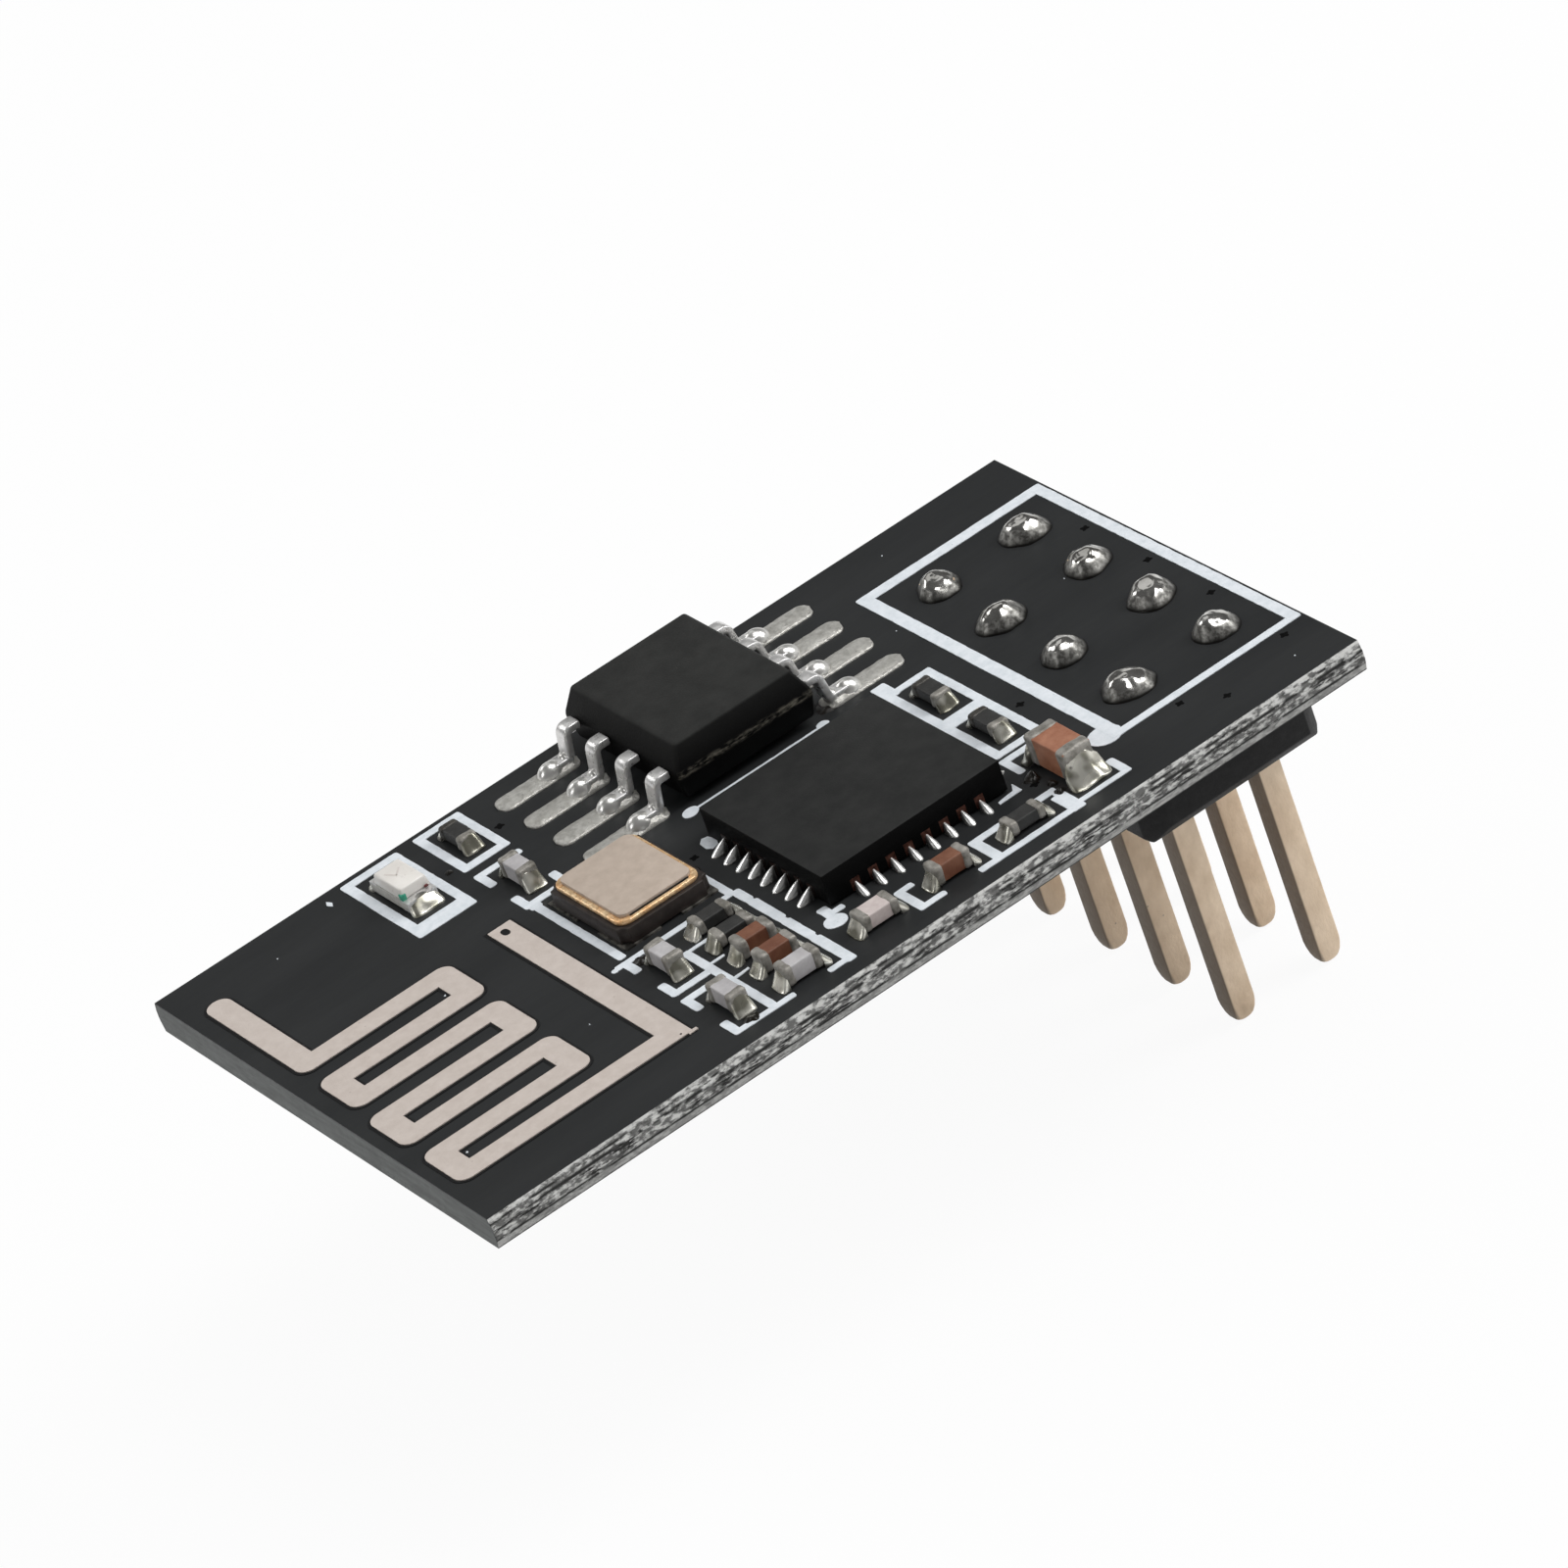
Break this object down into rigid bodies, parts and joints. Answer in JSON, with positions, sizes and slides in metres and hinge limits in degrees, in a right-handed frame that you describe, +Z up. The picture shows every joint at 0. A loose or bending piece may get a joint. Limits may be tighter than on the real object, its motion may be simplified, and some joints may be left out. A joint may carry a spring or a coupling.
{
  "type": "plug-in radio module",
  "caption": "Small black plug-in radio module with a folded strip aerial, radio and memory chips, crystal, indicator light and a two-row pin header underneath.",
  "frame": {"origin": "middle of the header's eight pins, on the lower face of the plastic strip, where it seats on the socket", "axes": "+X along the board from the aerial towards the header, +Y across the board, +Z up on the component side, pins pointing along -Z"},
  "size_m": [0.0244, 0.0145, 0.0109],
  "materials": {
    "aerial_finish": "bare copper with a matte beige-pink finish",
    "board_mask": "near-black satin solder mask over glass fibre",
    "brown_ceramic": "brown ceramic",
    "chip_moulding": "charcoal moulding compound",
    "crystal_lid_metal": "brushed lid",
    "end_plating": "dull tin",
    "gilt_ring": "gold-plated seal ring",
    "grey_ceramic": "lilac-grey ceramic",
    "header_plastic": "black moulded plastic, fine matte",
    "lead_plating": "tin plating",
    "legend_ink": "cool white print",
    "light_carrier": "pale resin-glass carrier",
    "light_lens": "milky clear resin",
    "pale_ceramic": "pinkish white ceramic",
    "pin_plating": "matte tin over brass",
    "resistor_glaze": "dark glaze on ceramic",
    "solder": "bright solder",
    "tub_ceramic": "dark alumina"
  },
  "bodies": {
    "root": {"aerial_strip": "aerial_finish", "capacitor_1_body": "grey_ceramic", "capacitor_1_ends": "end_plating", "capacitor_2_body": "grey_ceramic", "capacitor_2_ends": "end_plating", "capacitor_3_body": "grey_ceramic", "capacitor_3_ends": "end_plating", "capacitor_4_body": "brown_ceramic", "capacitor_4_ends": "end_plating", "capacitor_5_body": "brown_ceramic", "capacitor_5_ends": "end_plating", "capacitor_6_body": "grey_ceramic", "capacitor_6_ends": "end_plating", "capacitor_7_body": "pale_ceramic", "capacitor_7_ends": "end_plating", "capacitor_8_body": "brown_ceramic", "capacitor_8_ends": "end_plating", "capacitor_9_body": "brown_ceramic", "capacitor_9_ends": "end_plating", "chip_part_joints": "solder", "circuit_board": "board_mask", "crystal_base": "tub_ceramic", "crystal_joints": "solder", "crystal_lid": "crystal_lid_metal", "crystal_ring": "gilt_ring", "header_joints": "solder", "header_pin_1": "pin_plating", "header_pin_2": "pin_plating", "header_pin_3": "pin_plating", "header_pin_4": "pin_plating", "header_pin_5": "pin_plating", "header_pin_6": "pin_plating", "header_pin_7": "pin_plating", "header_pin_8": "pin_plating", "header_strip": "header_plastic", "light_base": "light_carrier", "light_joints": "solder", "light_lens": "light_lens", "light_terminals": "lead_plating", "memory_chip_body": "chip_moulding", "memory_chip_leads": "lead_plating", "memory_chip_pads": "solder", "printed_legend": "legend_ink", "radio_chip_body": "chip_moulding", "radio_chip_joints": "solder", "radio_chip_lands": "lead_plating", "resistor_1_body": "resistor_glaze", "resistor_1_ends": "end_plating", "resistor_2_body": "resistor_glaze", "resistor_2_ends": "end_plating", "resistor_3_body": "resistor_glaze", "resistor_3_ends": "end_plating", "resistor_4_body": "resistor_glaze", "resistor_4_ends": "end_plating", "resistor_5_body": "resistor_glaze", "resistor_5_ends": "end_plating", "resistor_6_body": "resistor_glaze", "resistor_6_ends": "end_plating"}
  },
  "joints": []
}
